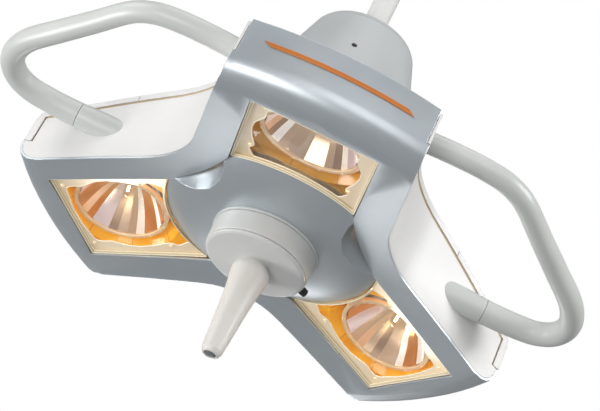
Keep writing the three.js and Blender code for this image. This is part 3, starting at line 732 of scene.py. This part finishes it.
def make_glow(lamp, matrix, lit):
    """A small warm light inside the mirror; the unlit lamp's only stands for what the room sends back."""
    data = bpy.data.lights.new(f"lamp_light_{lamp}", "POINT")
    data.energy = 0.06 if lit else 0.03
    data.color = (1.0, 0.86, 0.62) if lit else (1.0, 0.94, 0.86)
    data.shadow_soft_size = 0.006
    light = bpy.data.objects.new(f"lamp_light_{lamp}", data)
    bpy.context.scene.collection.objects.link(light)
    light.matrix_world = matrix @ Matrix.Translation((0, 0, 0.036))
    light.visible_camera = False
    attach(light, f"lamp_module_{lamp}")


def make_lamp(lamp, lit):
    matrix = module_matrix(lamp)
    make_bowl(lamp, matrix)
    make_module(lamp, matrix, lit)
    make_glow(lamp, matrix, lit)


# ---------------------------------------------------------------- grab handles
def tube_radius(t):
    return 0.017 - 0.0035 * min(1, t / 0.75)


def socket_radius(t):
    return 0.0168 + 0.0020 * (1 - (1 - t) ** 2) + 0.0003 * min(1, 40 * t)


def make_handle(gap, mirror):
    """Bent tube in the plane of the head and the conical socket on the neighbouring arm."""
    c, s = math.cos(FLANK_ANGLE), math.sin(FLANK_ANGLE)
    tangent = Vector((VALLEY_R + VALLEY_ARC * (1 - c), VALLEY_ARC * s, 0))

    def on_flank(along, off):
        return Vector((tangent.x + along * s + off * c, tangent.y + along * c - off * s, 0))

    seam = Vector((0.2555, -0.1505, 0))  # where the socket ends and the bare tube starts
    way = Vector((0.87, -0.492, 0)).normalized()
    bends = [(0.295, -0.171), (0.322, -0.180), (0.345, -0.177), (0.364, -0.163), (0.377, -0.141),
             (0.383, -0.112), (0.383, -0.088), (0.375, -0.035), (0.365, 0.030), (0.356, 0.092),
             (0.350, 0.111), (0.337, 0.132), (0.316, 0.150)]
    line = [seam, seam + way * 0.020, *[Vector((x, y, 0)) for x, y in bends],
            on_flank(0.142, 0.034), on_flank(0.142, 0.0004)]
    back = [seam - way * (0.0006 + 0.0684 * i / 24) for i in range(25)]
    tube = sweep(spline(line, 150), tube_radius, 40, (way, (-c, s, 0)))
    socket = sweep(back, socket_radius, 48, (-way, -way))
    flip = Matrix.Diagonal((1, mirror, 1, 1))
    turn = to_row @ Matrix.Rotation(math.radians(GAPS[gap]), 4, "Z") @ Matrix.Translation((0, 0, HANDLE_Z))
    parts = (("grab_tube", "handle_tube", tube), ("socket", "handle_socket", socket))
    for name, cad_name, (vertices, faces) in parts:
        shape = ([flip @ v for v in vertices], faces)
        piece(f"{name}_{gap}", shape, "handle_gray", "head", f"{cad_name}_{gap}", turn)


for lamp, look in LAMPS.items():
    make_window(lamp)
    make_lamp(lamp, look["lit"])
make_handle("AB", 1)
make_handle("AC", -1)


# ---------------------------------------------------------------- focus drum, sterile handle, knob
def make_drum():
    shell = [(0.0180, -0.0010), (0.0180, -0.0465), (0.0673, -0.0465), (0.0693, -0.0210, 0.0004),
             (0.0725, -0.0210, 0.0012), (0.0706, -0.0492, 0.0004), (0.0698, -0.0500, 0.0004), (0.0105, -0.0505),
             (0.0105, -0.0120), (0.0, -0.0120)]
    piece("drum_shell", lathe(rounded(shell, 0.0, 3, False), 180), "drum_gray", "focus_drum", "focus_drum")
    cap = rounded([(0.0105, -0.0509), (0.0105, -0.0562, 0.0010), (0.040, -0.0556, 0.02),
                   (0.0655, -0.0548, 0.0022), (0.0692, -0.0530, 0.0015), (0.0696, -0.0509, 0.0004)],
                  0.0005, 4, False)
    piece("drum_face", lathe([*cap, cap[0]], 180), "drum_gray", "focus_drum", "drum_cap")


def make_sterile_handle():
    body = rounded([(0, -0.0142), (0.0085, -0.0142), (0.0100, -0.0160), (0.0100, -0.0554, 0.0005),
                    (0.0192, -0.0556, 0.0006), (0.0205, -0.0580, 0.003), (0.0246, -0.0630, 0.004),
                    (0.0263, -0.0685, 0.004), (0.0256, -0.0750, 0.012), (0.0225, -0.0920, 0.02),
                    (0.0190, -0.1250, 0.05), (0.0148, -0.1800, 0.05), (0.0138, -0.1905, 0.004),
                    (0.0108, -0.1962, 0.003), (0.0085, -0.1966, 0.0010), (0.0078, -0.1950, 0.0006),
                    (0, -0.1950)], 0.001, 6, False)
    piece("handle_body", lathe(body, 96), "sterile_white", "sterile_handle", "sterile_handle")
    plug = rounded([(0, -0.1951), (0.0077, -0.1951), (0.0072, -0.1962, 0.0008), (0, -0.1974)],
                   0.0005, 4, False)
    piece("handle_plug", lathe(plug, 48), "tip_gray", "sterile_handle")


def make_knob():
    place = Matrix.Rotation(BUTTON_ANGLE, 4, "Z") @ Matrix.Translation((0, 0, BUTTON_Z))
    along = place @ Matrix.Rotation(math.pi / 2, 4, "Y")
    stem = rounded([(0, 0.058), (0.0085, 0.058), (0.0085, 0.061), (0.0060, 0.061), (0.0060, 0.0815, 0.0010),
                    (0.0052, 0.0822, 0.0004), (0.0052, 0.0834, 0.0004), (0.0060, 0.0840, 0.0006),
                    (0.0052, 0.0855, 0.0012), (0, 0.0856)], 0.0004, 4, False)
    piece("knob", lathe(stem, 48), "black", "release_button", "release_button", to_row @ along)


make_drum()
make_sterile_handle()
make_knob()


# ---------------------------------------------------------------- carried-over CAD nodes
for name, cad in frame["nodes"].items():
    if not cad.hide_render:
        dress(name, slots[name])


# ---------------------------------------------------------------- floor, world and lights
FLOOR_Z = -7.5  # far enough down to stay out of views from below
ROOM_LIGHT = 0.32  # of the white room; the camera sees it at full strength


def seen_by_camera(tree):
    return node(tree, "ShaderNodeLightPath").outputs["Is Camera Ray"]


def make_floor():
    bpy.ops.mesh.primitive_plane_add(size=60, location=(0, 0, FLOOR_Z))
    floor = bpy.context.active_object
    floor.name = "floor"
    material, tree = new_material("floor")
    tint = ramp(tree, noise(tree, 1.5).outputs["Fac"], [(0.3, rgb(222, 223, 224)), (0.7, rgb(228, 229, 230))])
    shader = node(tree, "ShaderNodeBsdfPrincipled", {
        "Base Color": tint, "Roughness": 0.9, "Emission Color": tint,
        "Emission Strength": maths(tree, "MULTIPLY", seen_by_camera(tree), 0.6),
    })
    finish_shader(tree, shader.outputs["BSDF"])
    floor.data.materials.append(material)


def make_world():
    world = bpy.data.worlds.new("studio")
    bpy.context.scene.world = world
    world.use_nodes = True
    tree = world.node_tree
    tree.nodes.clear()
    extra = maths(tree, "MULTIPLY", seen_by_camera(tree), 1 - ROOM_LIGHT)
    strength = maths(tree, "ADD", extra, ROOM_LIGHT)
    background = node(tree, "ShaderNodeBackground", {"Color": (1, 1, 1, 1), "Strength": strength})
    output = node(tree, "ShaderNodeOutputWorld")
    tree.links.new(background.outputs[0], output.inputs["Surface"])


HEAD = Vector((0, 0, -0.48))


def area_light(name, place, size, power):
    """A soft square light that faces the head."""
    data = bpy.data.lights.new(name, "AREA")
    data.size = size
    data.energy = power
    light = bpy.data.objects.new(name, data)
    bpy.context.scene.collection.objects.link(light)
    light.location = place
    light.rotation_mode = "QUATERNION"
    light.rotation_quaternion = (HEAD - Vector(place)).to_track_quat("-Z", "Y")
    light.visible_camera = False


make_floor()
make_world()
for name, place, size, power in (
    ("key_light", (-1.2, -2.4, -2.0), 1.4, 29),
    ("left_light", (-2.4, 0.3, -1.9), 1.1, 38),
    ("high_left_light", (-2.6, -1.0, 0.6), 1.4, 16),
    ("right_light", (2.6, -1.2, 0.7), 1.4, 48),
    ("front_light", (0.3, -2.6, -0.4), 1.4, 10),
    ("top_light", (-0.4, -1.2, 1.8), 1.8, 11),
    ("sheen_light", (0.1, 2.5, -0.70), 0.9, 9),
):
    area_light(name, place, size, power)
bpy.context.scene.view_settings.view_transform = "Standard"
